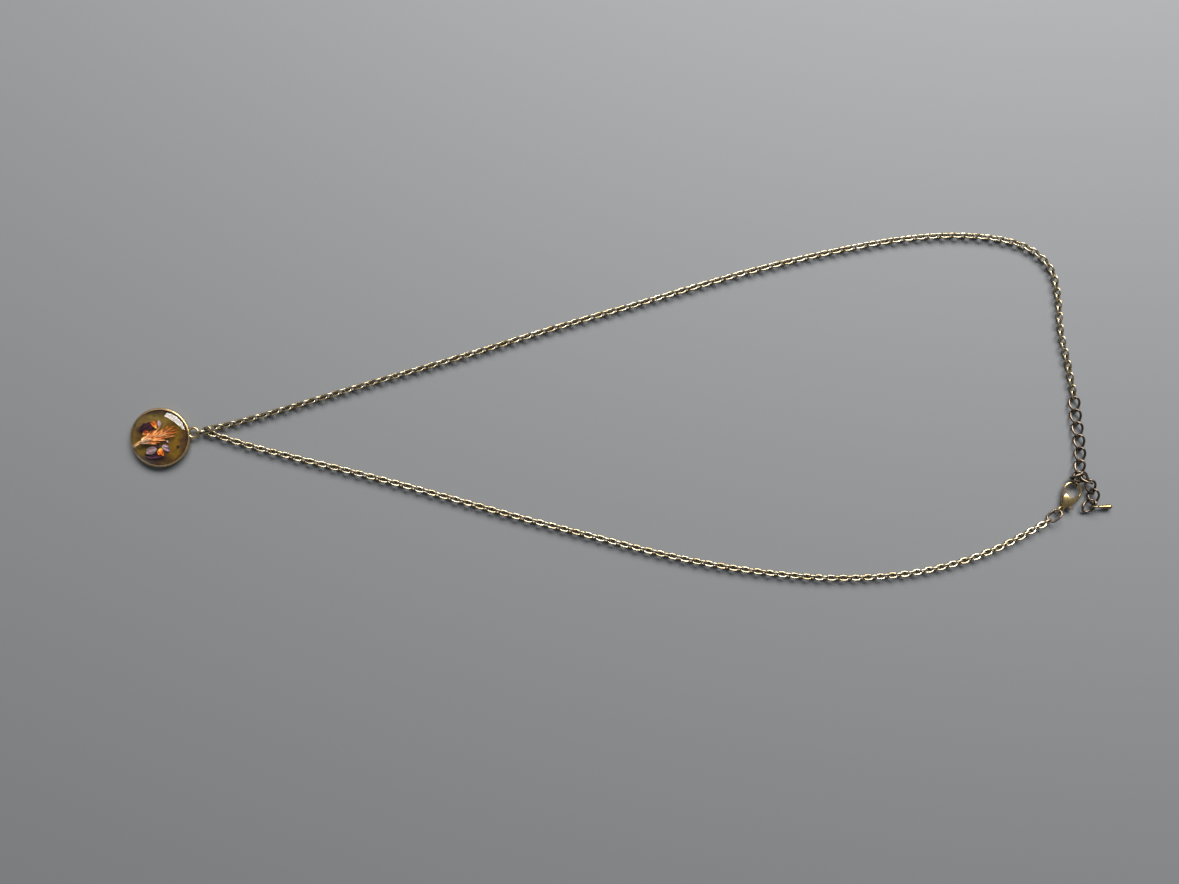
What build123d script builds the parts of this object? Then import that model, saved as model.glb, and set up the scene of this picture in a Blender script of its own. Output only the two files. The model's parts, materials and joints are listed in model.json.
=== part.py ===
from build123d import *
import math
import os

# A flower pendant necklace lying on the plane z = 0. Millimetres, +Z up. The origin is the middle of
# the pendant's flat back, and +X runs along the necklace towards its clasp.

# Pendant tray and the loop soldered to its side
tray_diameter = 19.5
tray_wall = 0.8
tray_floor = 0.6
tray_height = 2.0
tray_round = 1.1
loop_diameter = 3.9
loop_wire = 0.75
loop_reach = 1.2
loop_heading = 8.3

# Resin and the flowers in it
side_gap = 0.1
seat_gap = 0.05
pour_depth = 0.8
dome_side = 1.35
dome_crown = 0.8
dome_round = 1.2
pocket_edge = 0.5
layer_gap = 0.06
petal_thickness = 0.22
bud_thickness = 0.35
sprig_thickness = 0.45
roof_gap = 0.15
stem_width = 0.45

# Oval links between the pendant and the two strands
pendant_link_length = 3.8
pendant_link_width = 2.8
pendant_link_wire = 0.6
chain_link_length = 3.2
chain_link_width = 2.5
chain_link_wire = 0.55
link_gap = 0.15

# Lobster clasp, in its own frame: x from the tail towards the hook, y to the gate's side
clasp_heading = 68.6
clasp_lift = 1.4
eye_x = 7.0
eye_y = -0.75
eye_radius = 2.9
hook_wire = 0.8
hook_start = -140
hook_end = 97
pivot_x = 2.7
pivot_y = 0.6
pivot_boss = 1.6
pin_diameter = 0.7
pin_running_gap = 0.04
lever_thickness = 0.9
lever_gap = 0.12
gate_x = 6.46
gate_y = 2.1
gate_width = 0.84
thumb_x = 1.3
thumb_y = -2.45
thumb_diameter = 1.1
lever_swing = 25
tail_ring_diameter = 2.9
tail_ring_wire = 0.65
tail_ring_x = -0.5
tail_ring_y = 0.7
tail_ring_tilt = 30

# Oval link between the short strand and the clasp's tail ring
end_link_length = 5.6
end_link_width = 3.7
end_link_wire = 0.65
end_link_heading = 41
end_link_bearing = 43
end_link_reach = 0.3
end_link_pitch = 4
end_link_roll = -35

# Twisted curb links of the extender and the charm on its end
extender_length = 6.0
extender_width = 4.2
extender_wire = 0.72
extender_gap = 0.24
extender_twist = 42
extender_stations = 16
extender_sides = 6
hooked_overlap = 1.5
charm_ring_diameter = 2.65
charm_ring_wire = 0.55
charm_length = 7.6
charm_neck = 0.6
charm_end = 1.7

# Cable chain, one tube for each strand
strand_diameter = 1.9
strand_bend_share = 0.45

# The middle line of each strand as it lies, in x and y
long_route = [
    (17.2, 3.1), (27.0, 5.4), (43.0, 10.2), (71.5, 18.9), (100.5, 27.3), (129.0, 36.4),
    (157.5, 44.6), (186.5, 53.4), (206.0, 58.6), (225.5, 63.1), (245.0, 66.8), (262.0, 68.4),
    (277.5, 67.7), (290.0, 64.6), (298.2, 57.3), (300.2, 46.5), (300.6, 36.0), (303.4, 25.0),
    (305.3, 14.4),
]
short_route = [
    (17.3, 1.1), (26.5, -2.1), (43.5, -6.5), (68.0, -12.6), (92.0, -19.1), (116.0, -26.0),
    (140.0, -32.2), (164.0, -38.6), (184.0, -42.8), (203.0, -45.6), (220.0, -47.2), (236.0, -47.1),
    (252.0, -45.5), (267.0, -42.0), (280.5, -37.0), (290.0, -31.9), (296.2, -28.5),
]

# Each extender link, set by the one before it: step as a share of the extender's pitch, bearing of that
# step, height of the middle as a share of a flat link's, then the link's heading, pitch and roll.
# The seventh hangs on the clasp's hook and the rest are the loose tail.
extender_rows = [
    (1.00, -83.5, 1.00, -83.0, 0.0, 0.0),
    (1.00, -82.0, 1.00, -81.0, 0.0, 0.0),
    (1.00, -82.5, 1.00, -84.0, 0.0, 0.0),
    (1.00, -86.5, 1.00, -89.0, 0.0, 0.0),
    (0.99, -93.0, 1.10, -98.0, 0.0, -6.0),
    (0.90, -105.0, 1.30, -112.0, 6.0, -20.0),
    (0.10, 90.0, 2.40, 0.0, 12.0, 45.0),
    (0.63, -6.0, 2.20, -42.0, -2.0, -42.0),
    (0.80, -54.0, 1.40, -66.0, -10.0, 0.0),
    (0.82, -74.0, 1.20, -90.0, -4.0, 8.0),
    (0.80, -118.0, 1.15, -140.0, -2.0, 9.0),
]
first_extender_heading = -84.0
charm_row = (0.43, -10.0, 1.70, 0.0, -8.0, 84.0)

# Where the flowers lie and how large they are, as shares of the radius of the hollow under the dome.
# Petals: name, x, y, heading, length and width, in the lowest layer
petal_rows = [
    ("petal_dark_left", -0.53, 0.35, 40, 0.42, 0.25),
    ("petal_dark_high", -0.20, 0.40, 5, 0.30, 0.22),
    ("petal_dark_low", -0.16, -0.75, 5, 0.60, 0.21),
    ("petal_lilac_low", -0.25, -0.49, 25, 0.38, 0.27),
    ("petal_lilac_top", 0.04, 0.53, 75, 0.29, 0.10),
    ("petal_violet", 0.31, -0.43, -35, 0.35, 0.14),
]
# Buds: name, x, y, heading, length and width, in the layer above the petals
bud_rows = [
    ("bud_top", -0.13, 0.48, -62, 0.37, 0.15),
    ("bud_left", -0.43, 0.15, -20, 0.24, 0.15),
    ("bud_low", 0.10, -0.57, -70, 0.29, 0.17),
]
sprig_start = (-0.60, -0.17)
sprig_end = (0.67, 0.31)
stem_end = (-0.90, -0.36)
# Sprig blades: place along the axis as a share of it, angle to the axis, length and width
blade_rows = [
    (0.02, 6, 0.53, 0.15), (0.05, 24, 0.49, 0.13), (0.06, -14, 0.55, 0.14),
    (0.20, 16, 0.53, 0.15), (0.22, -6, 0.58, 0.17), (0.24, -24, 0.51, 0.13),
    (0.38, 22, 0.51, 0.13), (0.40, 3, 0.58, 0.16), (0.42, -18, 0.49, 0.14),
    (0.55, 14, 0.57, 0.12), (0.58, -2, 0.61, 0.12), (0.60, -13, 0.51, 0.12),
]
# The first cable link of each strand: name, then its middle past the pendant link's far end, its height,
# heading, pitch and roll
first_link_rows = [
    ("first_link_long", 0.2, 0.5, 1.7, 15, 3, 0),
    ("first_link_short", -0.1, -0.1, 0.9, -13, -4, -8),
]

os.makedirs("parts", exist_ok=True)


def direction(degrees):
    """The level unit vector at a heading."""
    return Vector(math.cos(math.radians(degrees)), math.sin(math.radians(degrees)), 0)


def pose(x, y, z, heading, pitch=0, roll=0):
    """A plane at a point, turned by a heading, then lifted by a pitch and rolled about its own x."""
    ahead = direction(heading)
    left = direction(heading + 90)
    lift = math.radians(pitch)
    turn = math.radians(roll)
    x_dir = ahead * math.cos(lift) + Vector(0, 0, math.sin(lift))
    up = Vector(0, 0, math.cos(lift)) - ahead * math.sin(lift)
    return Plane(origin=(x, y, z), x_dir=x_dir, z_dir=up * math.cos(turn) - left * math.sin(turn))


def inside(place, x, y, z=0, heading=0):
    """A plane at a point of another plane, turned about that plane's own z."""
    origin = place.from_local_coords(Vector(x, y, z))
    x_dir = place.from_local_coords(direction(heading)) - place.origin
    return Plane(origin=origin, x_dir=x_dir, z_dir=place.z_dir)


def save(piece, name):
    piece.part.label = name
    export_step(piece.part, f"parts/{name}.step")


def oval_link(name, place, length, width, wire):
    """A link of round wire bent to two half rounds and two straight sides."""
    turn = (width - wire) / 2
    straight = (length - width) / 2
    with BuildPart() as link:
        with BuildLine(place) as middle:
            Line((-straight, turn), (straight, turn))
            ThreePointArc((straight, turn), (straight + turn, 0), (straight, -turn))
            Line((straight, -turn), (-straight, -turn))
            ThreePointArc((-straight, -turn), (-straight - turn, 0), (-straight, turn))
        side = inside(place, 0, turn)
        with BuildSketch(Plane(origin=side.origin, x_dir=side.z_dir, z_dir=side.x_dir)):
            Circle(wire / 2)
        sweep(path=middle.wires()[0])
    save(link, name)


def twisted_middle(angle):
    """A point on the middle line of a curb link: an oval twisted about its long axis."""
    reach = (extender_length - extender_wire) / 2
    x = reach * math.cos(angle)
    across = (extender_width - extender_wire) / 2 * math.sin(angle)
    twist = -math.radians(extender_twist) * x / reach
    return Vector(x, across * math.cos(twist), across * math.sin(twist))


def curb_facets(place):
    """The link's surface, as triangles between rings of points round its wire."""
    rings = []
    for station in range(extender_stations):
        angle = 2 * math.pi * station / extender_stations
        middle = twisted_middle(angle)
        along = (twisted_middle(angle + 0.01) - twisted_middle(angle - 0.01)).normalized()
        out = (middle - along * middle.dot(along)).normalized()
        up = along.cross(out)
        ring = []
        for side in range(extender_sides):
            turn = 2 * math.pi * (side + 0.5) / extender_sides
            offset = out * math.cos(turn) + up * math.sin(turn)
            ring.append(place.from_local_coords(middle + offset * (extender_wire / 2)))
        rings.append(ring)
    facets = []
    for near, far in zip(rings, rings[1:] + rings[:1]):
        for side in range(extender_sides):
            after = (side + 1) % extender_sides
            facets.append(Face(Wire.make_polygon([near[side], near[after], far[after]])))
            facets.append(Face(Wire.make_polygon([near[side], far[after], far[side]])))
    return facets


def curb_link(name, place):
    link_solid = Solid(Shell(curb_facets(place)))
    with BuildPart() as link:
        add(link_solid)
    save(link, name)


# The tray, with its loop's back cut off flush with the inside of the wall
tray_radius = tray_diameter / 2
well_radius = tray_radius - tray_wall
loop_turn = (loop_diameter - loop_wire) / 2
link_lift = pendant_link_width / 2 + 0.03
loop_middle = direction(loop_heading) * (tray_radius + loop_reach)
loop_plane = pose(loop_middle.X, loop_middle.Y, link_lift, loop_heading)
with BuildPart() as bezel:
    with BuildSketch(Plane.XY):
        Circle(tray_radius)
    extrude(amount=tray_height)
    fillet(bezel.faces().sort_by(Axis.Z)[0].edges(), radius=tray_round)
    with BuildSketch(Plane(origin=loop_plane.origin, x_dir=loop_plane.x_dir, z_dir=-loop_plane.y_dir)):
        with Locations((loop_turn, 0)):
            Circle(loop_wire / 2)
    revolve(axis=Axis(loop_plane.origin, loop_plane.z_dir))
    with BuildSketch(Plane.XY.offset(tray_floor)):
        Circle(well_radius)
    extrude(amount=tray_height, mode=Mode.SUBTRACT)
    fillet(bezel.edges().filter_by(GeomType.CIRCLE).group_by(Axis.Z)[-1], radius=0.4 * tray_wall)
save(bezel, "bezel")

# The coloured first pour
resin_radius = well_radius - side_gap
flower_radius = resin_radius - pocket_edge
pour_bottom = tray_floor + seat_gap
pour_top = pour_bottom + pour_depth
with BuildPart() as resin_base:
    with BuildSketch(Plane.XY.offset(pour_bottom)):
        Circle(resin_radius)
    extrude(amount=pour_depth)
save(resin_base, "resin_base")

# The clear dome, hollow underneath where the flowers lie
petal_height = pour_top + seat_gap
bud_height = petal_height + petal_thickness + layer_gap
sprig_height = bud_height + bud_thickness + layer_gap
pocket_roof = sprig_height + sprig_thickness + roof_gap
dome_bottom = pour_top + seat_gap
dome_edge = tray_height + dome_side
with BuildPart() as resin_dome:
    with BuildSketch(Plane.XZ) as profile:
        with BuildLine():
            Line((0, dome_bottom), (resin_radius, dome_bottom))
            Line((resin_radius, dome_bottom), (resin_radius, dome_edge))
            RadiusArc(
                (resin_radius, dome_edge),
                (0, dome_edge + dome_crown),
                -(resin_radius**2 + dome_crown**2) / (2 * dome_crown),
            )
            Line((0, dome_edge + dome_crown), (0, dome_bottom))
        make_face()
        fillet(profile.vertices().group_by(Axis.X)[-1].sort_by(Axis.Y)[-1], radius=dome_round)
    revolve(axis=Axis.Z)
    with BuildSketch(Plane.XY.offset(dome_bottom)):
        Circle(flower_radius)
    extrude(amount=pocket_roof - dome_bottom, mode=Mode.SUBTRACT)
save(resin_dome, "resin_dome")

# Petals lie on the first pour, each a leaf between two arcs
for name, x, y, heading, length_share, width_share in petal_rows:
    length = length_share * flower_radius
    width = width_share * flower_radius
    with BuildPart() as petal:
        with BuildSketch(pose(x * flower_radius, y * flower_radius, petal_height, heading)):
            with BuildLine():
                ThreePointArc((-length / 2, 0), (0, width / 2), (length / 2, 0))
                ThreePointArc((length / 2, 0), (0, -width / 2), (-length / 2, 0))
            make_face()
        extrude(amount=petal_thickness)
    save(petal, name)

# Buds lie over the petals, each round at one end and narrow at the other
for name, x, y, heading, length_share, width_share in bud_rows:
    length = length_share * flower_radius
    width = width_share * flower_radius
    with BuildPart() as bud:
        with BuildSketch(pose(x * flower_radius, y * flower_radius, bud_height, heading)):
            with Locations((-(length - width) / 2, 0)):
                Circle(width / 2)
            with Locations((length / 2 - width / 4, 0)):
                Circle(width / 4)
            make_hull()
        extrude(amount=bud_thickness)
    save(bud, name)

# The feathery sprig: a stem and blades fanned out along one axis
sprig_root = Vector(*sprig_start) * flower_radius
stem_foot = Vector(*stem_end) * flower_radius
sprig_axis = Vector(*sprig_end) * flower_radius - sprig_root
sprig_heading = math.degrees(math.atan2(sprig_axis.Y, sprig_axis.X))
stem_axis = sprig_root - stem_foot
stem_heading = math.degrees(math.atan2(stem_axis.Y, stem_axis.X))
with BuildPart() as sprig:
    with BuildSketch(pose(stem_foot.X, stem_foot.Y, sprig_height, stem_heading)):
        with Locations((stem_width / 2, 0)):
            Circle(stem_width / 2)
        with Locations((stem_axis.length + stem_width, 0)):
            Circle(stem_width)
        make_hull()
    extrude(amount=sprig_thickness)
    for share, angle, length_share, width_share in blade_rows:
        length = length_share * flower_radius
        width = width_share * flower_radius
        root = sprig_root + sprig_axis * share
        with BuildSketch(pose(root.X, root.Y, sprig_height, sprig_heading + angle)):
            with BuildLine():
                ThreePointArc((0, 0), (length / 2, width / 2), (length, 0))
                ThreePointArc((length, 0), (length / 2, -width / 2), (0, 0))
            make_face()
        extrude(amount=sprig_thickness)
save(sprig, "sprig")

# The pendant's upright oval link, and the first cable link of each strand through it
grip = link_gap + (pendant_link_wire + loop_wire) / 2
pendant_link_middle = loop_middle + direction(loop_heading) * (
    loop_turn - grip + (pendant_link_length - pendant_link_wire) / 2
)
oval_link(
    "pendant_link",
    pose(pendant_link_middle.X, pendant_link_middle.Y, link_lift, loop_heading, 0, 90),
    pendant_link_length,
    pendant_link_width,
    pendant_link_wire,
)
link_end = pendant_link_middle.X + pendant_link_length / 2
for name, ahead, aside, lift, heading, pitch, roll in first_link_rows:
    place = pose(link_end + ahead, pendant_link_middle.Y + aside, lift, heading, pitch, roll)
    oval_link(name, place, chain_link_length, chain_link_width, chain_link_wire)

# Each strand is a tube of straight runs and tangent arcs
for name, route in (("chain_long_strand", long_route), ("chain_short_strand", short_route)):
    points = [Vector(x, y, strand_diameter / 2) for x, y in route]
    radii = []
    for before, here, after in zip(points, points[1:], points[2:]):
        turn = (here - before).get_angle(after - here)
        run = min((here - before).length, (after - here).length)
        radii.append(strand_bend_share * run / math.tan(math.radians(turn) / 2))
    print(name, "radii", [round(radius, 1) for radius in radii])
    with BuildPart() as strand:
        with BuildLine():
            middle = FilletPolyline(*points, radius=radii)
        with BuildSketch(Plane(origin=middle @ 0, z_dir=middle % 0)):
            Circle(strand_diameter / 2)
        sweep()
    section = math.pi * strand_diameter**2 / 4
    print(name, "length", round(middle.length, 1), "volume share", strand.part.volume / section / middle.length)
    save(strand, name)

# The extender, link after link from the long strand's end
link_reach = (extender_length - extender_wire) / 2
extender_pitch = extender_length - 2 * extender_wire - extender_gap
swell = max(
    twisted_middle(2 * math.pi * station / extender_stations).Z for station in range(extender_stations)
)
flat_lift = swell + extender_wire / 2 + 0.03
strand_end = Vector(*long_route[-1])
here = strand_end + direction(first_extender_heading) * (extender_length / 2 + link_gap)
places = [pose(here.X, here.Y, flat_lift, first_extender_heading)]
for step, bearing, height, heading, pitch, roll in extender_rows:
    here = here + direction(bearing) * (step * extender_pitch)
    places.append(pose(here.X, here.Y, height * flat_lift, heading, pitch, roll))
for number, place in enumerate(places, 1):
    curb_link(f"extender_link_{number:02d}", place)

# The charm: a ring and a tapered peg with a round end, turned about one axis
step, bearing, height, heading, pitch, roll = charm_row
here = here + direction(bearing) * (step * extender_pitch)
charm_place = pose(here.X, here.Y, height * flat_lift, heading, pitch, roll)
charm_turn = (charm_ring_diameter - charm_ring_wire) / 2
peg_end = charm_length - charm_ring_diameter / 2
round_start = peg_end - charm_end / 2
with BuildPart() as charm:
    with BuildSketch(Plane(origin=charm_place.origin, x_dir=charm_place.x_dir, z_dir=-charm_place.y_dir)):
        with Locations((charm_turn, 0)):
            Circle(charm_ring_wire / 2)
    revolve(axis=Axis(charm_place.origin, charm_place.z_dir))
    with BuildSketch(charm_place):
        with BuildLine():
            Line((charm_turn, 0), (charm_turn, charm_neck / 2))
            Line((charm_turn, charm_neck / 2), (round_start, charm_end / 2))
            RadiusArc((round_start, charm_end / 2), (peg_end, 0), charm_end / 2)
            Line((peg_end, 0), (charm_turn, 0))
        make_face()
    revolve(axis=Axis(charm_place.origin, charm_place.x_dir))
save(charm, "charm")

# The clasp hangs on the seventh link: its hook's top stands that far inside the link's end
hooked = places[6].origin
hook_to_link = eye_x + eye_radius + extender_length / 2 - hooked_overlap
clasp_tail = hooked - direction(clasp_heading) * hook_to_link - direction(clasp_heading + 90) * eye_y
clasp_plane = pose(clasp_tail.X, clasp_tail.Y, clasp_lift, clasp_heading)
# Sections of the body across its length: x, middle, half width and half height
body_rows = [
    (-0.15, 0.05, 0.30, 0.30),
    (1.5, -0.15, 1.20, 0.95),
    (3.0, -0.50, 2.30, 1.25),
    (4.5, -0.85, 2.75, 1.25),
    (6.2, -2.40, 1.75, 0.55),
]
eye_plane = inside(clasp_plane, eye_x, eye_y)
pivot_plane = inside(clasp_plane, pivot_x, pivot_y)


def lever_outline(place, extra):
    """The lever seen along its pivot: a gate arm and a thumb arm from one boss."""
    gate = (gate_x - pivot_x, gate_y - pivot_y)
    thumb = (thumb_x - pivot_x, thumb_y - pivot_y)
    with BuildSketch(place) as outline:
        with BuildSketch():
            Circle(pivot_boss / 2 + extra)
            with Locations(gate):
                Circle(gate_width / 2 + extra)
            make_hull()
        with BuildSketch():
            Circle(pivot_boss / 2 + extra)
            with Locations(thumb):
                Circle(gate_width / 2 + extra)
            make_hull()
        with Locations(thumb):
            Circle(thumb_diameter / 2 + extra)
    return outline.sketch


slot_half = lever_thickness / 2 + lever_gap
lever_slots = []
for share in (0, 0.25, 0.5, 0.75, 1):
    turned = inside(pivot_plane, 0, 0, -slot_half, -share * (lever_swing + 1))
    lever_slots.append(lever_outline(turned, lever_gap))

with BuildPart() as clasp_body:
    for x, middle_y, half_width, half_height in body_rows:
        section = inside(clasp_plane, x, middle_y)
        with BuildSketch(Plane(origin=section.origin, x_dir=section.y_dir, z_dir=section.x_dir)):
            Ellipse(half_width, half_height)
    loft()
    with BuildSketch(inside(clasp_plane, eye_x, eye_y, -2 * clasp_lift)):
        Circle(eye_radius - hook_wire / 2)
    extrude(amount=4 * clasp_lift, mode=Mode.SUBTRACT)
    start = inside(eye_plane, 0, 0, 0, hook_start)
    with BuildSketch(Plane(origin=start.origin, x_dir=start.x_dir, z_dir=-start.y_dir)):
        with Locations((eye_radius, 0)):
            Circle(hook_wire / 2)
    revolve(axis=Axis(eye_plane.origin, eye_plane.z_dir), revolution_arc=hook_end - hook_start)
    tail = inside(clasp_plane, tail_ring_x, tail_ring_y)
    tail_plane = pose(tail.origin.X, tail.origin.Y, clasp_lift, clasp_heading, 0, tail_ring_tilt)
    with BuildSketch(Plane(origin=tail_plane.origin, x_dir=tail_plane.x_dir, z_dir=-tail_plane.y_dir)):
        with Locations(((tail_ring_diameter - tail_ring_wire) / 2, 0)):
            Circle(tail_ring_wire / 2)
    revolve(axis=Axis(tail_plane.origin, tail_plane.z_dir))
    for slot in lever_slots:
        extrude(slot, amount=2 * slot_half, dir=(0, 0, 1), mode=Mode.SUBTRACT)
    with BuildSketch(inside(pivot_plane, 0, 0, -1.1)):
        Circle(pin_diameter / 2)
    extrude(amount=2.2)
save(clasp_body, "clasp_body")

with BuildPart() as clasp_lever:
    extrude(lever_outline(inside(pivot_plane, 0, 0, -lever_thickness / 2), 0), amount=lever_thickness, dir=(0, 0, 1))
    with BuildSketch(inside(pivot_plane, 0, 0, -lever_thickness)):
        Circle(pin_diameter / 2 + pin_running_gap)
    extrude(amount=2 * lever_thickness, mode=Mode.SUBTRACT)
save(clasp_lever, "clasp_lever")
print("clasp pivot", pivot_plane.origin)

# The oval link that holds the clasp's tail ring, in line with the short strand's end
end_reach = (end_link_length - end_link_wire) / 2 + end_link_reach
end_middle = tail.origin - direction(end_link_bearing) * end_reach
end_place = pose(
    end_middle.X, end_middle.Y, clasp_lift, end_link_heading, end_link_pitch, end_link_roll
)
oval_link("end_link", end_place, end_link_length, end_link_width, end_link_wire)
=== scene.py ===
import json
import math
import random

import bpy
from mathutils import Matrix, Vector

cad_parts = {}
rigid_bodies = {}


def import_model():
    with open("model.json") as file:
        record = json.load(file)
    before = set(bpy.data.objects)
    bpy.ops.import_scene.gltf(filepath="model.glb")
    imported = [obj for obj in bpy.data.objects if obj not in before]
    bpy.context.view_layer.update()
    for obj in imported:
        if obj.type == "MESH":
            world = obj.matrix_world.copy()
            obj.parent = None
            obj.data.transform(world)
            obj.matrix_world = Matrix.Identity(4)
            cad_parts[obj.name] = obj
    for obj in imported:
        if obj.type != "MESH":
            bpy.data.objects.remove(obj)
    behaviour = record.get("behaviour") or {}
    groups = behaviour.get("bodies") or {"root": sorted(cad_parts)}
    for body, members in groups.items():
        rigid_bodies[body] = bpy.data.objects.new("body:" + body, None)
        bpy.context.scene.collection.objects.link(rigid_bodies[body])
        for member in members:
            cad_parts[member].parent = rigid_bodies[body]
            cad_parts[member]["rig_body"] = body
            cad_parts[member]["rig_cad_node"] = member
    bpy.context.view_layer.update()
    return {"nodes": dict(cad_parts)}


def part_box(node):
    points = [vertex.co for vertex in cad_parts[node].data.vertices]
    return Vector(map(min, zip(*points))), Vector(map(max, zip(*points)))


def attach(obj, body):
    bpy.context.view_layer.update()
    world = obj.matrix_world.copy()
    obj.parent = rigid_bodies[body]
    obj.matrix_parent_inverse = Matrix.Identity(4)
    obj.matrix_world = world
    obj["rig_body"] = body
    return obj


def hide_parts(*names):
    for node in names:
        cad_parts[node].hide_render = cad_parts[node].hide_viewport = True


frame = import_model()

# A flower pendant necklace: dried flowers under a clear resin dome in an antique brass tray. It hangs on
# two strands of oval cable chain that close with a lobster clasp and a twisted extender. Lengths are in
# metres and angles in degrees. Only the places, lengths and widths of feathers, stalks and petals are in
# millimetres.
MM = 0.001
NECKLACE = "necklace"

# Oval cable link of flattened wire, and how many steps a link has round it and its wire
LINK_LENGTH = 3.52 * MM
LINK_WIDTH = 2.55 * MM
LINK_WIRE = 0.72 * MM
LINK_FLATNESS = 0.8
LINK_STEPS = 12
WIRE_STEPS = 6
# A ring's points nearer its middle than this stay where they are when it is drawn out into a link
LINK_MIDDLE = 0.05 * MM

# How links follow each other: their spacing, the height of their middles over the table, how far they
# roll to either side in turn, the chance in that, and how far the whole strand leans as it lies
LINK_PITCH = 2.08 * MM
LINK_REST = 1.14 * MM
LINK_ROLL = 46
LINK_WOBBLE = 3
LONG_LEAN = 15
SHORT_LEAN = 9

# The strands' lines as they lie, in x and y, and how many steps run from one point to the next
LONG_ROUTE = [
    (0.0172, 0.0031), (0.0270, 0.0054), (0.0430, 0.0102), (0.0715, 0.0189), (0.1005, 0.0273),
    (0.1290, 0.0364), (0.1575, 0.0446), (0.1865, 0.0534), (0.2060, 0.0586), (0.2255, 0.0631),
    (0.2450, 0.0668), (0.2620, 0.0684), (0.2775, 0.0677), (0.2900, 0.0646), (0.2982, 0.0573),
    (0.3002, 0.0465), (0.3006, 0.0360), (0.3034, 0.0250), (0.3053, 0.0144),
]
SHORT_ROUTE = [
    (0.01695, 0.00125), (0.0265, -0.0021), (0.0435, -0.0065), (0.0680, -0.0126), (0.0920, -0.0191),
    (0.1160, -0.0260), (0.1400, -0.0322), (0.1640, -0.0386), (0.1840, -0.0428), (0.2030, -0.0456),
    (0.2200, -0.0472), (0.2360, -0.0471), (0.2520, -0.0455), (0.2670, -0.0420), (0.2805, -0.0370),
    (0.2900, -0.0319), (0.2962, -0.0285),
]
ROUTE_STEPS = 16

# How far the pendant's own link lifts the first links of a strand, and the run over which that ends
LONG_LIFT = 0.45 * MM
SHORT_LIFT = 0.0
LIFT_RUN = 6 * MM

# How far the skins of the copied first links and extender links are pushed out, and how many links the
# extender has
FIRST_SWELL = 0.03 * MM
CURB_SWELL = 0.09 * MM
EXTENDER_LINKS = 12

# Copies of CAD nodes: points nearer than the gap become one, and two triangles that bend by less than
# the angle become a quad
MERGE_GAP = 0.001 * MM
QUAD_ANGLE = 60

# Clear dome: the crown's height over its lip, how far its foot and side go into the coloured pour and
# the tray's wall, how far the lip runs out over the wall's top, the lip's thickness, and its rings from
# the lip to the crown, as shares of the lip's radius and of the crown's height
DOME_CROWN = 2.05 * MM
DOME_GRIP = 0.12 * MM
DOME_LIP = 0.33 * MM
DOME_HEM = 0.06 * MM
DOME_STEPS = 96
DOME_RINGS = [
    (0.988, 0.09), (0.972, 0.17), (0.950, 0.25), (0.922, 0.34), (0.892, 0.43), (0.860, 0.52),
    (0.826, 0.61), (0.788, 0.70), (0.740, 0.785), (0.670, 0.865), (0.560, 0.93), (0.400, 0.975),
    (0.210, 0.995),
]

# Petal shapes, one long and one wide: the share of the width at each column from root to tip, how far
# the long edges rise and how far the tip does
BLADE = ((0.35, 0.80, 1.0, 0.92, 0.70, 0.45, 0.24, 0.05), 0.10, 0.10)
ROUND_PETAL = ((0.30, 0.75, 1.0, 1.0, 0.85, 0.45), 0.12, 0.02)
STALK = ((0.55, 0.7, 0.8, 1.0, 1.0, 0.9), 0.35, 0.0)
# The strips that a petal has across, past what y its long edges lie, and how near to a column's place
# that column's points are
PETAL_STRIPS = 4
OUTER_STRIP = 0.4
COLUMN_REACH = 0.1

# Dried petals: thickness, the size and depth of their creases, and the angle past which an edge is sharp
PETAL_SKIN = 0.09 * MM
CREASE_SIZE = 0.9 * MM
FEATHER_CREASE = 0.10 * MM
STEM_CREASE = 0.05 * MM
PETAL_CREASE = 0.12 * MM
PETAL_EDGE = 60

# The sprig: where its feathers start, the run of their roots, its heading, how high its first row lies
# and how far each row lies under the one before, how many rows have pale feathers among them, which are
# partly painted highlight, and for each row its place along the run, how many feathers it has, how far
# they fan out and their length
SPRIG_START = (-5.0, -1.4)
SPRIG_RUN = (7.0, 2.7)
SPRIG_HEADING = 20
SPRIG_TOP = 2.48
SPRIG_STEP = 0.04
PALE_HIGHLIT_ROWS = 6
SPRIG_ROWS = [
    (0.0, 4, 26, 2.8), (0.16, 5, 28, 3.3), (0.33, 5, 27, 3.4), (0.50, 5, 24, 3.5), (0.67, 4, 20, 3.7),
    (0.84, 4, 15, 4.1), (1.0, 3, 9, 4.4),
]
# Feathers: how far apart their roots are, as a share of the run, how far the outer ones droop, and the
# range of each one's turn, rise, growth, width, tilt and roll
FEATHER_SPACING = 0.035
FEATHER_DROOP = 0.10
FEATHER_TURN = (-4, 4)
FEATHER_RISE = (0, 0.08)
FEATHER_GROWTH = (0.85, 1.1)
FEATHER_WIDTH = (0.55, 0.95)
FEATHER_TILT = (1, 4)
FEATHER_ROLL = (-35, 35)
# The sprig's stalks: x, y, height, heading, length, width and tilt
STALKS = [
    (-8.1, -3.3, 2.32, 34, 3.5, 0.60, 1.5),
    (-5.4, -1.5, 2.54, 36, 2.8, 0.45, 1.5),
    (-5.3, -1.6, 2.56, 20, 3.6, 0.45, 1.0),
    (-5.4, -1.8, 2.52, 0, 2.6, 0.45, 1.5),
]

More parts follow.
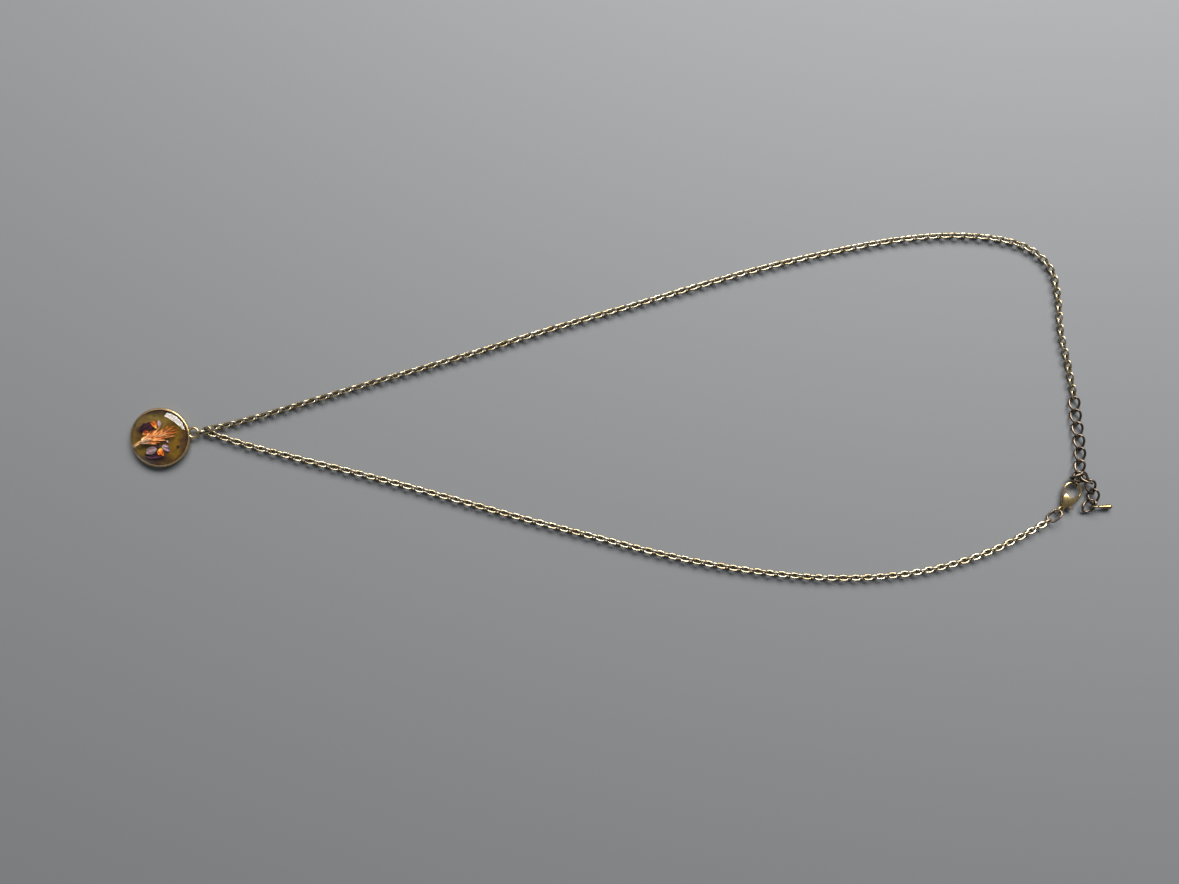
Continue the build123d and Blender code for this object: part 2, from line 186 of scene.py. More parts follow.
# Buds and loose petals, each a pile of petals from the lowest up: x, y, heading, length and width
BUDS = {
    "bud_top": [(-0.6, 3.0, 124, 2.6, 1.1), (-0.7, 3.2, 112, 2.2, 0.8), (-0.9, 3.3, 136, 2.1, 0.9)],
    "bud_left": [(-5.2, 1.0, 12, 2.2, 1.1), (-5.0, 1.2, 38, 1.8, 0.9), (-3.1, 1.0, 120, 1.4, 0.8)],
    "bud_low": [(0.2, -3.7, -58, 2.5, 1.2), (0.0, -4.0, -82, 1.7, 0.9), (0.9, -3.5, -74, 2.0, 0.9)],
}
PETALS = {
    "petal_dark_left": [
        (-6.2, 1.7, 58, 3.4, 1.1), (-5.9, 2.0, 43, 4.2, 1.2), (-5.6, 1.8, 26, 3.9, 1.3),
        (-5.2, 1.7, 10, 3.4, 1.1), (-6.3, 2.3, 30, 2.2, 0.9),
    ],
    "petal_dark_high": [
        (-3.3, 4.9, -48, 2.8, 1.2), (-3.4, 3.8, -18, 2.4, 1.1), (-3.0, 4.3, -72, 2.0, 0.8),
    ],
    "petal_dark_low": [
        (-4.2, -5.9, -8, 3.0, 1.3), (-1.8, -6.3, 8, 2.9, 1.3), (-1.3, -2.7, -10, 1.7, 0.8),
    ],
    "petal_lilac_low": [(-4.0, -5.0, 26, 3.5, 2.3), (-3.7, -4.3, 8, 2.6, 1.5)],
    "petal_lilac_top": [(0.05, 3.3, 94, 2.2, 0.85), (0.2, 3.4, 78, 1.6, 0.6)],
    "petal_violet": [
        (1.1, -2.8, -33, 2.8, 1.2), (1.3, -2.5, -18, 1.9, 0.8), (2.6, -0.9, -62, 1.0, 0.5),
    ],
}
# How a pile lies: its lowest petal's height, the rise to the next, the tilt, the first roll and the
# change of roll from one petal to the next
BUD_PILE = (1.88, 0.08, 1.5, -12, 12)
PETAL_PILE = (1.58, 0.07, 0.5, 8, -10)

# Metal finish: clouds to the metre, specks to a cloud, how far dark patina and painted shade reach out
# of a hollow and in from nearby parts and the floor, the roughness of dull and of worn places, and the
# depth of its grain
BRONZE_CLOUDS = 260.0
BRASS_CLOUDS = 240.0
METAL_SPECKS = 6
PATINA_AND_SHADE_REACH = 1.1 * MM
DULL_ROUGHNESS = 0.42
WORN_ROUGHNESS = 0.24
METAL_GRAIN = 0.05 * MM

# Coloured pour: its tones from dark to light, and the stains on it with one band of painted shade, each
# with its centre, radii, strength and colour
POUR_TONES = [
    (0.30, (0.028, 0.014, 0.001)),
    (0.50, (0.056, 0.031, 0.002)),
    (0.70, (0.092, 0.055, 0.003)),
]
POUR_STAINS_AND_SHADE = [
    ((-0.0030, 0.0058), (0.0075, 0.0045), 0.60, (0.112, 0.080, 0.020)),
    ((-0.0058, -0.0048), (0.0050, 0.0045), 0.70, (0.125, 0.078, 0.001)),
    ((0.0050, -0.0005), (0.0045, 0.0050), 0.55, (0.096, 0.048, 0.001)),
    ((0.0084, -0.0020), (0.0028, 0.0050), 0.80, (0.028, 0.012, 0.008)),
    ((-0.0018, -0.0066), (0.0056, 0.0026), 0.90, (0.014, 0.004, 0.003)),
    # A long dark band just inside the top of the wall: painted shade
    ((0.0005, 0.0088), (0.0095, 0.0024), 0.75, (0.010, 0.005, 0.003)),
    ((-0.0055, 0.0023), (0.0026, 0.0024), 0.70, (0.018, 0.007, 0.005)),
    ((0.0058, -0.0030), (0.0006, 0.0006), 1.00, (0.005, 0.001, 0.001)),
]
# How wide the stains and the painted shade fade at their edges, as a share of their radii, and how deep
# all patches reach
PATCH_FADE = 0.45
PATCH_DEPTH = 50 * MM
# The pour's radius, the share of it that darkens towards the tray's wall with painted shade, and the
# colour of that painted shade
POUR_RADIUS = 9.1 * MM
WALL_SHADE_FADE = 0.13
WALL_SHADE_COLOUR = (0.008, 0.003, 0.002)

# Dried petals' finish: stretch of the veins along a petal, depth of their relief and colour of the
# speckles
VEIN_STRETCH = (2.5, 16.0, 1.0)
VEIN_DEPTH = 0.08 * MM
SPECKLE_COLOUR = (0.05, 0.015, 0.008)
# How little the petals and the coloured pour shine
DULL_SHINE = 0.12

# The studio: floor, sky, and one soft window with the place that it faces
FLOOR_PLACE = (0.14, 0, 0)
FLOOR_SIZE = 3
FLOOR_COLOUR = (0.146, 0.149, 0.152, 1)
SKY_COLOUR = (0.93, 0.96, 1.0, 1)
SKY_STRENGTH = 0.22
WINDOW_PLACE = (0.36, 0.70, 0.62)
WINDOW_AIM = (0.15, 0, 0)
WINDOW_WIDTH = 1.1
WINDOW_HEIGHT = 0.45
WINDOW_POWER = 28.0

# The camera, nearly straight above the necklace
CAMERA_PLACE = (0.13489, -0.00148, 0.29667)
CAMERA_TILT = -1.3
CAMERA_SENSOR = 36
CAMERA_LENS = 27.04
CAMERA_NEAR = 0.005


# Handling of pieces
def deselect():
    if bpy.context.object and bpy.context.object.mode != "OBJECT":
        bpy.ops.object.mode_set(mode="OBJECT")
    bpy.ops.object.select_all(action="DESELECT")


def choose(*pieces):
    """Selects these pieces alone and makes the first one active."""
    deselect()
    for piece in pieces:
        piece.select_set(True)
    bpy.context.view_layer.objects.active = pieces[0]


def edit_all(piece):
    """Opens the piece for editing with all its points selected."""
    choose(piece)
    bpy.ops.object.mode_set(mode="EDIT")
    bpy.ops.mesh.select_all(action="SELECT")


def edit_where(piece, test):
    """Opens the piece for editing with the points that pass the test selected."""
    choose(piece)
    bpy.ops.object.mode_set(mode="EDIT")
    bpy.ops.mesh.select_mode(type="VERT")
    bpy.ops.mesh.select_all(action="DESELECT")
    bpy.ops.object.mode_set(mode="OBJECT")
    for vertex in piece.data.vertices:
        vertex.select = test(vertex.co)
    bpy.ops.object.mode_set(mode="EDIT")


def close_edit():
    bpy.ops.object.mode_set(mode="OBJECT")


def apply_modifiers(piece):
    choose(piece)
    for modifier in list(piece.modifiers):
        bpy.ops.object.modifier_apply(modifier=modifier.name)


def round_off(piece, levels):
    """Rounds the piece by subdividing it."""
    rounding = piece.modifiers.new("rounding", "SUBSURF")
    rounding.levels = levels
    rounding.render_levels = levels
    apply_modifiers(piece)


def settle(piece):
    """Puts the piece's place into its mesh."""
    choose(piece)
    bpy.ops.object.transform_apply(location=True, rotation=True, scale=True)


def copy_of(piece, name):
    """A copy with a mesh of its own."""
    twin = piece.copy()
    twin.data = piece.data.copy()
    twin.name = name
    bpy.context.scene.collection.objects.link(twin)
    return twin


def merged_copy(node, name):
    """A copy of a CAD node as one closed skin."""
    twin = copy_of(frame["nodes"][node], name)
    twin.parent = None
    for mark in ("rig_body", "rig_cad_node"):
        if mark in twin:
            del twin[mark]
    edit_all(twin)
    bpy.ops.mesh.remove_doubles(threshold=MERGE_GAP)
    flat = math.radians(QUAD_ANGLE)
    bpy.ops.mesh.tris_convert_to_quads(face_threshold=flat, shape_threshold=flat)
    close_edit()
    return twin


def fatten(piece, amount):
    edit_all(piece)
    bpy.ops.transform.shrink_fatten(value=amount)
    close_edit()


def join(pieces, name):
    choose(*pieces)
    bpy.ops.object.join()
    whole = bpy.context.object
    whole.name = name
    settle(whole)
    return whole


def smooth(piece, angle=180):
    choose(piece)
    bpy.ops.object.shade_smooth_by_angle(angle=math.radians(angle))


def dress(piece, material, nodes=()):
    """Gives a finished piece its material and its place in the model."""
    piece.data.materials.clear()
    piece.data.materials.append(material)
    if nodes:
        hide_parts(*nodes)
    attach(piece, NECKLACE)


def dress_node(name, material):
    node = frame["nodes"][name]
    for slot in node.material_slots:
        slot.material = material


# Tools for materials
def start_material(name):
    material = bpy.data.materials.new(name)
    material.use_nodes = True
    tree = material.node_tree
    return material, tree, tree.nodes["Principled BSDF"]


def add_node(tree, kind, **settings):
    """A new node with its inputs, or else its own settings, set by name."""
    node = tree.nodes.new(kind)
    for key, value in settings.items():
        if key in node.inputs:
            node.inputs[key].default_value = value
        else:
            setattr(node, key, value)
    return node


def grey(level):
    return (level, level, level)


def ramp(tree, source, stops):
    """A colour ramp fed by a socket, with stops of (place, colour)."""
    node = tree.nodes.new("ShaderNodeValToRGB")
    elements = node.color_ramp.elements
    while len(elements) < len(stops):
        elements.new(0.5)
    for element, (place, colour) in zip(elements, stops):
        element.position = place
        element.color = (*colour, 1)
    tree.links.new(source, node.inputs[0])
    return node.outputs["Color"]


def mix(tree, factor, first, second, blend="MIX"):
    """A colour mix; each of its three inputs is a socket or a value."""
    node = tree.nodes.new("ShaderNodeMix")
    node.data_type = "RGBA"
    node.blend_type = blend
    for index, value in ((0, factor), (6, first), (7, second)):
        if isinstance(value, bpy.types.NodeSocket):
            tree.links.new(value, node.inputs[index])
        elif index == 0:
            node.inputs[index].default_value = value
        else:
            node.inputs[index].default_value = (*value, 1)
    return node.outputs[2]


def relief(tree, source, shader, strength, distance):
    """Raises the surface a little where the source is bright."""
    bump = add_node(tree, "ShaderNodeBump", Strength=strength, Distance=distance)
    tree.links.new(source, bump.inputs["Height"])
    tree.links.new(bump.outputs["Normal"], shader.inputs["Normal"])


def patch(tree, where, centre, radii, power, fade):
    """A soft patch on the table plane: full at its centre, 0 past its radii, with a faded edge that is a
    share of the radii wide."""
    move = tree.nodes.new("ShaderNodeMapping")
    move.vector_type = "TEXTURE"
    move.inputs["Location"].default_value = (*centre, 0)
    move.inputs["Scale"].default_value = (*radii, PATCH_DEPTH)
    tree.links.new(where, move.inputs["Vector"])
    ball = tree.nodes.new("ShaderNodeTexGradient")
    ball.gradient_type = "SPHERICAL"
    tree.links.new(move.outputs["Vector"], ball.inputs["Vector"])
    return ramp(tree, ball.outputs["Fac"], [(0.0, grey(0)), (fade, grey(power))])


# Finishes
def antique_metal(name, metal, pale, shade, clouds):
    """Brass or bronze with pale worn clouds, dark patina in its hollows, and painted shade where other
    parts or the floor lie close.
    """
    material, tree, shader = start_material(name)
    where = tree.nodes.new("ShaderNodeTexCoord")
    cloud = add_node(tree, "ShaderNodeTexNoise", Scale=clouds, Detail=5.0, Roughness=0.6)
    speck = add_node(tree, "ShaderNodeTexNoise", Scale=clouds * METAL_SPECKS, Detail=3.0)
    patina_and_shade_occlusion = add_node(tree, "ShaderNodeAmbientOcclusion", Distance=PATINA_AND_SHADE_REACH, samples=6)
    tree.links.new(where.outputs["Object"], cloud.inputs["Vector"])
    tree.links.new(where.outputs["Object"], speck.inputs["Vector"])
    tone = ramp(tree, cloud.outputs["Fac"], [(0.35, metal), (0.70, pale)])
    # Occlusion darkens the tone: dark patina in the hollows, and painted shade between parts that touch
    # and where the floor lies close
    depth = ramp(tree, patina_and_shade_occlusion.outputs["AO"], [(0.30, grey(0)), (0.75, grey(1))])
    patina_and_shade_tone = mix(tree, depth, shade, tone)
    spots = ramp(tree, speck.outputs["Fac"], [(0.55, grey(0)), (0.75, grey(0.45))])
    tree.links.new(mix(tree, spots, patina_and_shade_tone, shade), shader.inputs["Base Color"])
    rough = add_node(tree, "ShaderNodeMapRange")
    rough.inputs["To Min"].default_value = DULL_ROUGHNESS
    rough.inputs["To Max"].default_value = WORN_ROUGHNESS
    tree.links.new(cloud.outputs["Fac"], rough.inputs["Value"])
    tree.links.new(rough.outputs["Result"], shader.inputs["Roughness"])
    relief(tree, speck.outputs["Fac"], shader, 0.12, METAL_GRAIN)
    shader.inputs["Metallic"].default_value = 1.0
    return material


def clear_resin():
    material, tree, shader = start_material("clear resin")
    shader.inputs["Base Color"].default_value = (1.0, 0.99, 0.96, 1)
    shader.inputs["Roughness"].default_value = 0.02
    shader.inputs["IOR"].default_value = 1.45
    shader.inputs["Transmission Weight"].default_value = 1.0
    # Lamps shine through the resin, so that the flowers in it are lit
    through = tree.nodes.new("ShaderNodeBsdfTransparent")
    path = tree.nodes.new("ShaderNodeLightPath")
    either = tree.nodes.new("ShaderNodeMixShader")
    tree.links.new(path.outputs["Is Shadow Ray"], either.inputs[0])
    tree.links.new(shader.outputs["BSDF"], either.inputs[1])
    tree.links.new(through.outputs["BSDF"], either.inputs[2])
    tree.links.new(either.outputs["Shader"], tree.nodes["Material Output"].inputs["Surface"])
    return material


def tinted_resin():
    """Olive-brown resin, khaki where it is thin and purple-brown where petals have bled into it, with
    painted shade along the tray's wall.
    """
    material, tree, shader = start_material("tinted resin")
    where = tree.nodes.new("ShaderNodeTexCoord").outputs["Object"]
    cloud = add_node(tree, "ShaderNodeTexNoise", Scale=260.0, Detail=5.0, Roughness=0.6, Distortion=0.6)
    tree.links.new(where, cloud.inputs["Vector"])
    colour = ramp(tree, cloud.outputs["Fac"], POUR_TONES)
    # Stains, and the band of painted shade by the wall, laid over the tones
    for centre, radii, power, patch_colour in POUR_STAINS_AND_SHADE:
        colour = mix(tree, patch(tree, where, centre, radii, power, PATCH_FADE), colour, patch_colour)
    # Small darker clouds all over the pour
    speck = add_node(tree, "ShaderNodeTexNoise", Scale=620.0, Detail=4.0, Roughness=0.65, Distortion=0.4)
    tree.links.new(where, speck.inputs["Vector"])
    mottle = ramp(tree, speck.outputs["Fac"], [(0.38, (0.58, 0.52, 0.50)), (0.58, grey(1))])
    colour = mix(tree, 1.0, colour, mottle, "MULTIPLY")
    # Painted shade darkens the pour along the tray's wall
    clear_of_wall_shade = patch(tree, where, (0, 0), (POUR_RADIUS, POUR_RADIUS), 1.0, WALL_SHADE_FADE)
    tree.links.new(mix(tree, clear_of_wall_shade, WALL_SHADE_COLOUR, colour), shader.inputs["Base Color"])
    shader.inputs["Roughness"].default_value = 0.35
    shader.inputs["Specular IOR Level"].default_value = DULL_SHINE
    return material


def dried_petal(name, root, middle, tip, rib_and_highlight, speckle=0.0):
    """A dried petal: its colour runs from root to tip along U, paler on its rib, partly as a painted
    highlight, with veins along it.
    """
    material, tree, shader = start_material(name)
    where = tree.nodes.new("ShaderNodeTexCoord")
    split = tree.nodes.new("ShaderNodeSeparateXYZ")
    tree.links.new(where.outputs["UV"], split.inputs[0])
    along = ramp(tree, split.outputs["X"], [(0.05, root), (0.45, middle), (0.95, tip)])
    # A paler band down the petal's middle: partly its own rib, partly a painted highlight
    rib_and_highlight_mask = ramp(tree, split.outputs["Y"], [(0.30, grey(0)), (0.5, grey(0.85)), (0.70, grey(0))])
    ribbed_and_highlit = mix(tree, rib_and_highlight_mask, along, rib_and_highlight)
    stretch = tree.nodes.new("ShaderNodeMapping")
    stretch.inputs["Scale"].default_value = VEIN_STRETCH
    tree.links.new(where.outputs["UV"], stretch.inputs["Vector"])
    vein = add_node(tree, "ShaderNodeTexNoise", Scale=1.0, Detail=4.0, Roughness=0.7)
    tree.links.new(stretch.outputs["Vector"], vein.inputs["Vector"])
    cloud = add_node(tree, "ShaderNodeTexNoise", Scale=700.0, Detail=3.0)
    tree.links.new(where.outputs["Object"], cloud.inputs["Vector"])
    lines = ramp(tree, vein.outputs["Fac"], [(0.36, grey(0.50)), (0.55, grey(1))])
    blotch = ramp(tree, cloud.outputs["Fac"], [(0.38, grey(0.45)), (0.55, grey(1))])
    veined = mix(tree, 1.0, mix(tree, 1.0, ribbed_and_highlit, lines, "MULTIPLY"), blotch, "MULTIPLY")
    dots = add_node(tree, "ShaderNodeTexVoronoi", Scale=1700.0)
    tree.links.new(where.outputs["Object"], dots.inputs["Vector"])
    spots = ramp(tree, dots.outputs["Distance"], [(0.12, grey(speckle)), (0.30, grey(0))])
    tree.links.new(mix(tree, spots, veined, SPECKLE_COLOUR), shader.inputs["Base Color"])
    shader.inputs["Roughness"].default_value = 0.6
    shader.inputs["Specular IOR Level"].default_value = DULL_SHINE
    relief(tree, vein.outputs["Fac"], shader, 0.6, VEIN_DEPTH)
    return material


def floor_paint():
    material, tree, shader = start_material("pale floor")
    shader.inputs["Base Color"].default_value = FLOOR_COLOUR
    shader.inputs["Roughness"].default_value = 0.75
    return material


# Metals by name, colour, worn colour, colour of the patina and painted shade in hollows, and clouds to
# the metre
BRONZE = antique_metal(
    "antique bronze", (0.34, 0.26, 0.14), (0.61, 0.54, 0.39), (0.018, 0.011, 0.007), BRONZE_CLOUDS
)
DARK_BRONZE = antique_metal(
    "dark bronze", (0.06, 0.042, 0.03), (0.26, 0.2, 0.14), (0.004, 0.003, 0.003), BRONZE_CLOUDS
)
BRASS = antique_metal(
    "antique brass", (0.40, 0.29, 0.12), (0.70, 0.54, 0.27), (0.030, 0.018, 0.009), BRASS_CLOUDS
)
LEVER_BRASS = antique_metal(
    "lever brass", (0.40, 0.29, 0.20), (0.66, 0.52, 0.40), (0.030, 0.018, 0.012), BRASS_CLOUDS
)
PEG_BRASS = antique_metal(
    "peg brass", (0.22, 0.16, 0.07), (0.42, 0.33, 0.16), (0.022, 0.014, 0.007), BRASS_CLOUDS
)
RESIN = tinted_resin()
DOME = clear_resin()

# Petals by name, colour of root, middle, tip and rib, the rib partly a painted highlight, and strength
# of the speckles
ORANGE = dried_petal(
    "orange sprig", (0.56, 0.22, 0.06), (0.50, 0.12, 0.008), (0.42, 0.09, 0.005), (1.0, 0.46, 0.14)
)
# Pale feathers: partly the flower's own paler tone, partly a painted highlight on the sprig
PEACH_AND_HIGHLIGHT = dried_petal(
    "peach highlit feathers", (0.95, 0.56, 0.28), (0.95, 0.46, 0.16), (0.80, 0.26, 0.05), (1.0, 0.80, 0.52)
)
BUD = dried_petal(
    "orange bud", (0.80, 0.42, 0.06), (0.55, 0.09, 0.002), (0.50, 0.10, 0.002), (0.75, 0.20, 0.005), 0.9
)
STEM = dried_petal(
    "pale stem", (0.95, 0.76, 0.58), (0.95, 0.66, 0.44), (0.90, 0.48, 0.22), (1.0, 0.88, 0.70)
)
LILAC = dried_petal(
    "lilac petal", (0.17, 0.10, 0.12), (0.26, 0.17, 0.19), (0.31, 0.21, 0.24), (0.28, 0.19, 0.21), 0.35
)
VIOLET = dried_petal(
    "violet petal", (0.50, 0.40, 0.43), (0.36, 0.25, 0.31), (0.11, 0.03, 0.14), (0.56, 0.46, 0.50)
)
DARK = dried_petal(
    "dark petal",
    (0.034, 0.006, 0.020),
    (0.024, 0.004, 0.012),
    (0.044, 0.009, 0.018),
    (0.06, 0.012, 0.034),
    0.7,
)
PETAL_FINISH = {
    "dark": (DARK, "dark_petal"),
    "lilac": (LILAC, "lilac_petal"),
    "violet": (VIOLET, "lilac_petal"),
}


# Chain
def cable_link():
    """One oval link, flat on the middle plane with its long side along X."""
    turn = (LINK_WIDTH - LINK_WIRE) / 2
    deselect()
    bpy.ops.mesh.primitive_torus_add(
        major_segments=LINK_STEPS,
        minor_segments=WIRE_STEPS,
        major_radius=turn,
        minor_radius=LINK_WIRE / 2,
    )
    link = bpy.context.object
    for side in (-1, 1):
        edit_where(link, lambda point: point.x * side > LINK_MIDDLE)
        bpy.ops.transform.translate(value=(side * (LINK_LENGTH - LINK_WIDTH) / 2, 0, 0))
        close_edit()
    edit_all(link)
    bpy.ops.transform.resize(value=(1, 1, LINK_FLATNESS))
    close_edit()
    smooth(link)
    return link


def strand_line(route):
    """Points along the smooth line that a strand's route steers."""
    curve = bpy.data.curves.new("strand line", "CURVE")
    curve.dimensions = "3D"
    curve.resolution_u = ROUTE_STEPS
    spline = curve.splines.new("NURBS")
    spline.points.add(len(route) - 1)
    for point, (x, y) in zip(spline.points, route):
        point.co = (x, y, LINK_REST, 1)
    spline.order_u = 3
    spline.use_endpoint_u = True
    line = bpy.data.objects.new("strand line", curve)
    mesh = bpy.data.meshes.new_from_object(line)
    points = [vertex.co.copy() for vertex in mesh.vertices]
    bpy.data.objects.remove(line)
    bpy.data.meshes.remove(mesh)
    return points


def along_line(points, spacing):
    """Places about a spacing apart, from the line's start to a hair before its end, and directions."""
    runs = [(after - before).length for before, after in zip(points, points[1:])]
    length = sum(runs)
    count = round(length / spacing)
    step = length / count
    hair = 1e-9
    places = []
    run = 0
    passed = 0.0
    for number in range(count + 1):
        wanted = min(number * step, length - hair)
        while passed + runs[run] < wanted:
            passed += runs[run]
            run += 1
        ahead = points[run + 1] - points[run]
        places.append((points[run] + ahead * ((wanted - passed) / runs[run]), ahead.normalized()))
    return places


def turned(place, ahead, roll):
    """The matrix that lays a link at a place with its long side ahead, rolled about it."""
    left = Vector((0, 0, 1)).cross(ahead).normalized()
    up = ahead.cross(left)
    turn = Matrix((ahead, left, up)).transposed().to_4x4()
    return Matrix.Translation(place) @ turn @ Matrix.Rotation(math.radians(roll), 4, "X")


def strand(name, route, lift, lean, tube, first_link):
    """A strand of separate links in place of its CAD tube, with its first link on the pendant's link."""
    chance = random.Random(name)
    master = cable_link()
    first = merged_copy(first_link, f"{name} first")
    fatten(first, FIRST_SWELL)
    links = [first]
    for number, (place, ahead) in enumerate(along_line(strand_line(route), LINK_PITCH)):
        rise = max(0, 1 - number * LINK_PITCH / LIFT_RUN) ** 2 * lift
        link = copy_of(master, name)
        side = 1 if number % 2 else -1
        roll = side * LINK_ROLL + lean + chance.uniform(-LINK_WOBBLE, LINK_WOBBLE)
        link.matrix_world = turned(place + Vector((0, 0, rise)), ahead, roll)
        links.append(link)
    bpy.data.objects.remove(master)
    whole = join(links[::-1], name)
    dress(whole, BRONZE, [tube, first_link])


def extender_links():
    """The twisted links of the extender, rounded from the plain ones."""
    for number in range(1, EXTENDER_LINKS + 1):
        node = f"extender_link_{number:02d}"
        link = merged_copy(node, f"rounded_{node}")
        fatten(link, CURB_SWELL)
        round_off(link, 2)
        smooth(link)
        dress(link, DARK_BRONZE, [node])


# Pendant
def clear_dome():
    """The poured dome, one clear body from the coloured pour to its crown, with a lip on the wall."""
    low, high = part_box("resin_dome")
    radius = (high.x - low.x) / 2 + DOME_GRIP + DOME_LIP
    lip = high.z - DOME_CROWN - DOME_HEM / 2
    foot = low.z - DOME_GRIP
    deselect()
    bpy.ops.mesh.primitive_cylinder_add(
        vertices=DOME_STEPS, radius=radius, depth=DOME_HEM, location=(0, 0, lip)
    )
    dome = bpy.context.object
    settle(dome)
    edit_where(dome, lambda point: point.z < lip)
    bpy.ops.mesh.select_mode(type="FACE")
    bpy.ops.mesh.inset(thickness=DOME_LIP)
    bpy.ops.mesh.extrude_region_move(TRANSFORM_OT_translate={"value": (0, 0, foot - lip + DOME_HEM / 2)})
    bpy.ops.mesh.inset(thickness=DOME_HEM)
    close_edit()
    edit_where(dome, lambda point: point.z > lip)
    bpy.ops.mesh.select_mode(type="FACE")
    at = 1.0
    height = 0.0
    for share, rise in DOME_RINGS:
        bpy.ops.mesh.inset(thickness=radius * (at - share), use_even_offset=False)
        bpy.ops.transform.translate(value=(0, 0, DOME_CROWN * (rise - height)))
        at = share
        height = rise
    close_edit()
    round_off(dome, 1)
    smooth(dome)
    dome.name = "clear_dome"
    dress(dome, DOME, ["resin_dome"])


def leaf(outline, cup, curl):
    """A petal one long and one wide, its root at the origin. Outline holds its width at each column as a
    share, cup lifts its long edges and curl its tip."""
    columns = len(outline) - 1
    deselect()
    bpy.ops.mesh.primitive_grid_add(
        x_subdivisions=columns, y_subdivisions=PETAL_STRIPS, size=1, location=(0.5, 0, 0)
    )
    petal = bpy.context.object
    settle(petal)
    for side in (-1, 1):
        edit_where(petal, lambda point: point.y * side > OUTER_STRIP)
        bpy.ops.transform.translate(value=(0, 0, cup))
        close_edit()
    for column, share in enumerate(outline):
        edit_where(petal, lambda point: abs(point.x * columns - column) < COLUMN_REACH)
        bpy.ops.transform.resize(value=(1, share, share))
        bpy.ops.transform.translate(value=(0, 0, curl * (column / columns) ** 2))
        close_edit()
    round_off(petal, 1)
    return petal


def lay(master, name, x, y, height, heading, length, width, tilt=0.0, roll=0.0):
    """A copy of a petal with its root at x and y, in millimetres, laid along a heading."""
    petal = copy_of(master, name)
    petal.matrix_world = (
        Matrix.Translation((x * MM, y * MM, height * MM))
        @ Matrix.Rotation(math.radians(heading), 4, "Z")
        @ Matrix.Rotation(math.radians(-tilt), 4, "Y")
        @ Matrix.Rotation(math.radians(roll), 4, "X")
        @ Matrix.Diagonal((length * MM, width * MM, length * MM, 1))
    )
    return petal


def pile(master, name, rows, height, rise, tilt, roll, turn):
    """Petals laid one over another, each from its row of x, y, heading, length and width."""
    return [
        lay(master, name, x, y, height + rise * level, heading, length, width, tilt, roll + turn * level)
        for level, (x, y, heading, length, width) in enumerate(rows)
    ]


def wrinkle(piece, depth):
    """Crumples a petal a little and gives it its thickness."""
    paper = bpy.data.textures.new("wrinkles", "CLOUDS")
    paper.noise_scale = CREASE_SIZE
    paper.noise_depth = 2
    crumple = piece.modifiers.new("crumple", "DISPLACE")
    crumple.texture = paper
    crumple.texture_coords = "GLOBAL"
    crumple.strength = depth
    crumple.mid_level = 0.5
    skin = piece.modifiers.new("skin", "SOLIDIFY")
    skin.thickness = PETAL_SKIN
    skin.offset = 0
    apply_modifiers(piece)


def bunch(petals, name, material, depth, nodes=()):
    """Joins laid petals into one piece, crumples it and dresses it."""
    piece = join(petals, name)
    wrinkle(piece, depth)
    smooth(piece, PETAL_EDGE)
    dress(piece, material, nodes)


def sprig():
    """The feathery flower: rows of orange feathers with pale ones among them, partly painted highlight,
    and its stem.
    """
    blade = leaf(*BLADE)
    start_x, start_y = SPRIG_START
    run_x, run_y = SPRIG_RUN
    chance = random.Random("feathers")
    blades = []
    pale_highlit_blades = []
    for row, (share, count, spread, length) in enumerate(SPRIG_ROWS):
        for number in range(count):
            across = 2 * number / (count - 1) - 1
            angle = SPRIG_HEADING + across * spread + chance.uniform(*FEATHER_TURN)
            root_x = start_x + share * run_x - across * FEATHER_SPACING * run_y * count
            root_y = start_y + share * run_y + across * FEATHER_SPACING * run_x * count / 2
            height = SPRIG_TOP - SPRIG_STEP * row - FEATHER_DROOP * abs(across)
            height += chance.uniform(*FEATHER_RISE)
            grown = length * chance.uniform(*FEATHER_GROWTH)
            width = chance.uniform(*FEATHER_WIDTH)
            tilt = chance.uniform(*FEATHER_TILT)
            roll = chance.uniform(*FEATHER_ROLL)
            feather = lay(blade, "blade", root_x, root_y, height, angle, grown, width, tilt, roll)
            # Every other feather in the first rows is pale, partly painted highlight
            if row < PALE_HIGHLIT_ROWS and (number + row) % 2:
                pale_highlit_blades.append(feather)
            else:
                blades.append(feather)
    bpy.data.objects.remove(blade)
    bunch(blades, "sprig_feathers", ORANGE, FEATHER_CREASE, ["sprig"])
    bunch(pale_highlit_blades, "sprig_pale_highlit_feathers", PEACH_AND_HIGHLIGHT, FEATHER_CREASE)
    stalk = leaf(*STALK)
    stalks = [lay(stalk, "stem", *row) for row in STALKS]
    bpy.data.objects.remove(stalk)
    bunch(stalks, "sprig_stem", STEM, STEM_CREASE)


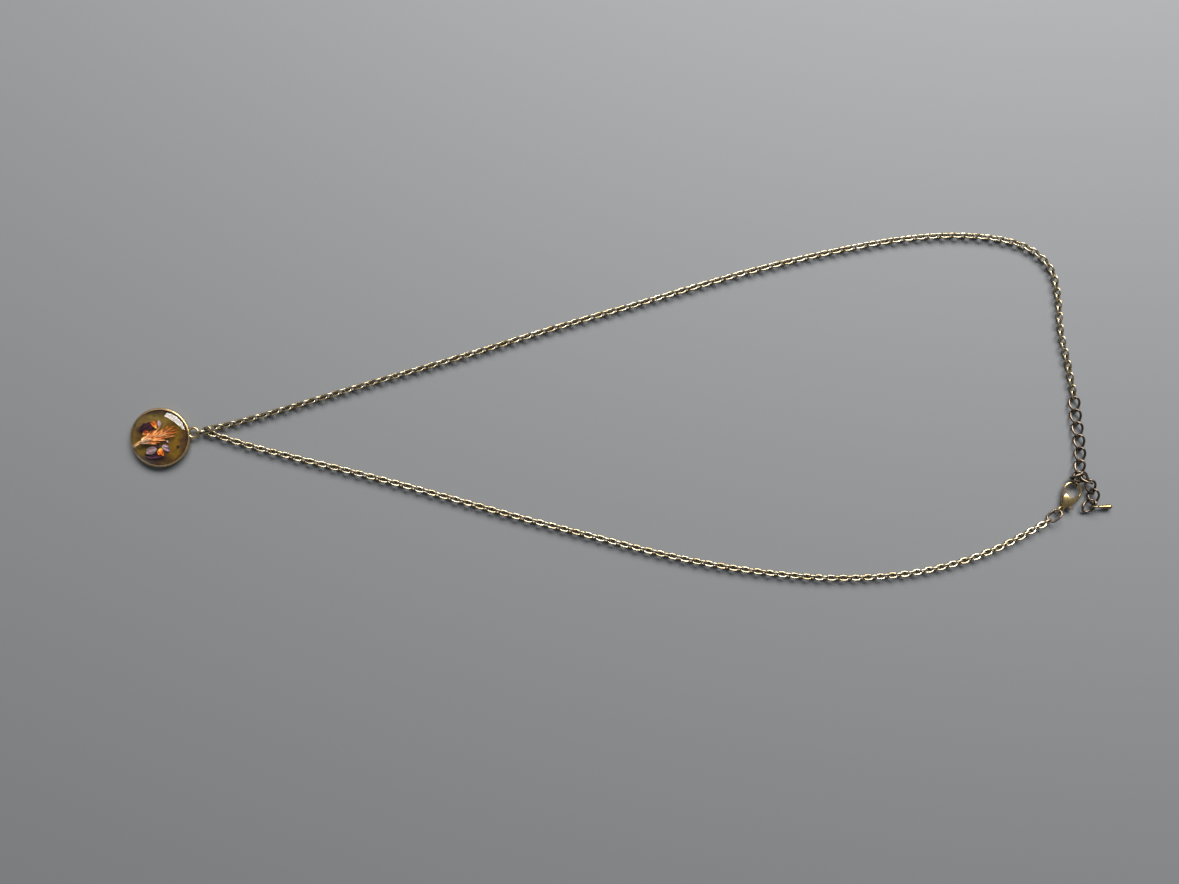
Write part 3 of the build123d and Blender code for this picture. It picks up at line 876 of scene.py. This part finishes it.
def buds_and_petals():
    """The small orange buds, and the dark, lilac and violet petals round the sprig."""
    round_petal = leaf(*ROUND_PETAL)
    for name, rows in BUDS.items():
        layers = pile(round_petal, name, rows, *BUD_PILE)
        bunch(layers, f"{name}_petals", BUD, PETAL_CREASE, [name])
    for name, rows in PETALS.items():
        material, slot = PETAL_FINISH[name.split("_")[1]]
        layers = pile(round_petal, name, rows, *PETAL_PILE)
        bunch(layers, f"{name}_leaf", material, PETAL_CREASE, [name])
    bpy.data.objects.remove(round_petal)


# Floor, light and camera
def set_stage():
    deselect()
    bpy.ops.mesh.primitive_plane_add(size=FLOOR_SIZE, location=FLOOR_PLACE)
    floor = bpy.context.object
    floor.name = "floor"
    floor.data.materials.append(floor_paint())
    world = bpy.data.worlds.new("studio")
    world.use_nodes = True
    sky = world.node_tree.nodes["Background"]
    sky.inputs["Color"].default_value = SKY_COLOUR
    sky.inputs["Strength"].default_value = SKY_STRENGTH
    bpy.context.scene.world = world
    deselect()
    bpy.ops.object.light_add(type="AREA", location=WINDOW_PLACE)
    window = bpy.context.object
    window.name = "window"
    window.data.shape = "RECTANGLE"
    window.data.size = WINDOW_WIDTH
    window.data.size_y = WINDOW_HEIGHT
    window.data.energy = WINDOW_POWER
    toward = Vector(WINDOW_AIM) - Vector(WINDOW_PLACE)
    window.rotation_euler = toward.to_track_quat("-Z", "Y").to_euler()


def set_camera():
    deselect()
    bpy.ops.object.camera_add(location=CAMERA_PLACE, rotation=(0, math.radians(CAMERA_TILT), 0))
    camera = bpy.context.object
    camera.data.sensor_width = CAMERA_SENSOR
    camera.data.lens = CAMERA_LENS
    camera.data.clip_start = CAMERA_NEAR
    bpy.context.scene.camera = camera


# The necklace, from its strands to its flowers, and then its stage
strand("chain_long", LONG_ROUTE, LONG_LIFT, LONG_LEAN, "chain_long_strand", "first_link_long")
strand("chain_short", SHORT_ROUTE, SHORT_LIFT, SHORT_LEAN, "chain_short_strand", "first_link_short")
extender_links()
clear_dome()
sprig()
buds_and_petals()
dress_node("bezel", BRASS)
dress_node("clasp_body", BRASS)
dress_node("clasp_lever", LEVER_BRASS)
dress_node("charm", PEG_BRASS)
dress_node("pendant_link", BRONZE)
dress_node("end_link", DARK_BRONZE)
dress_node("resin_base", RESIN)
set_stage()
set_camera()
bpy.context.scene.view_settings.view_transform = "Standard"
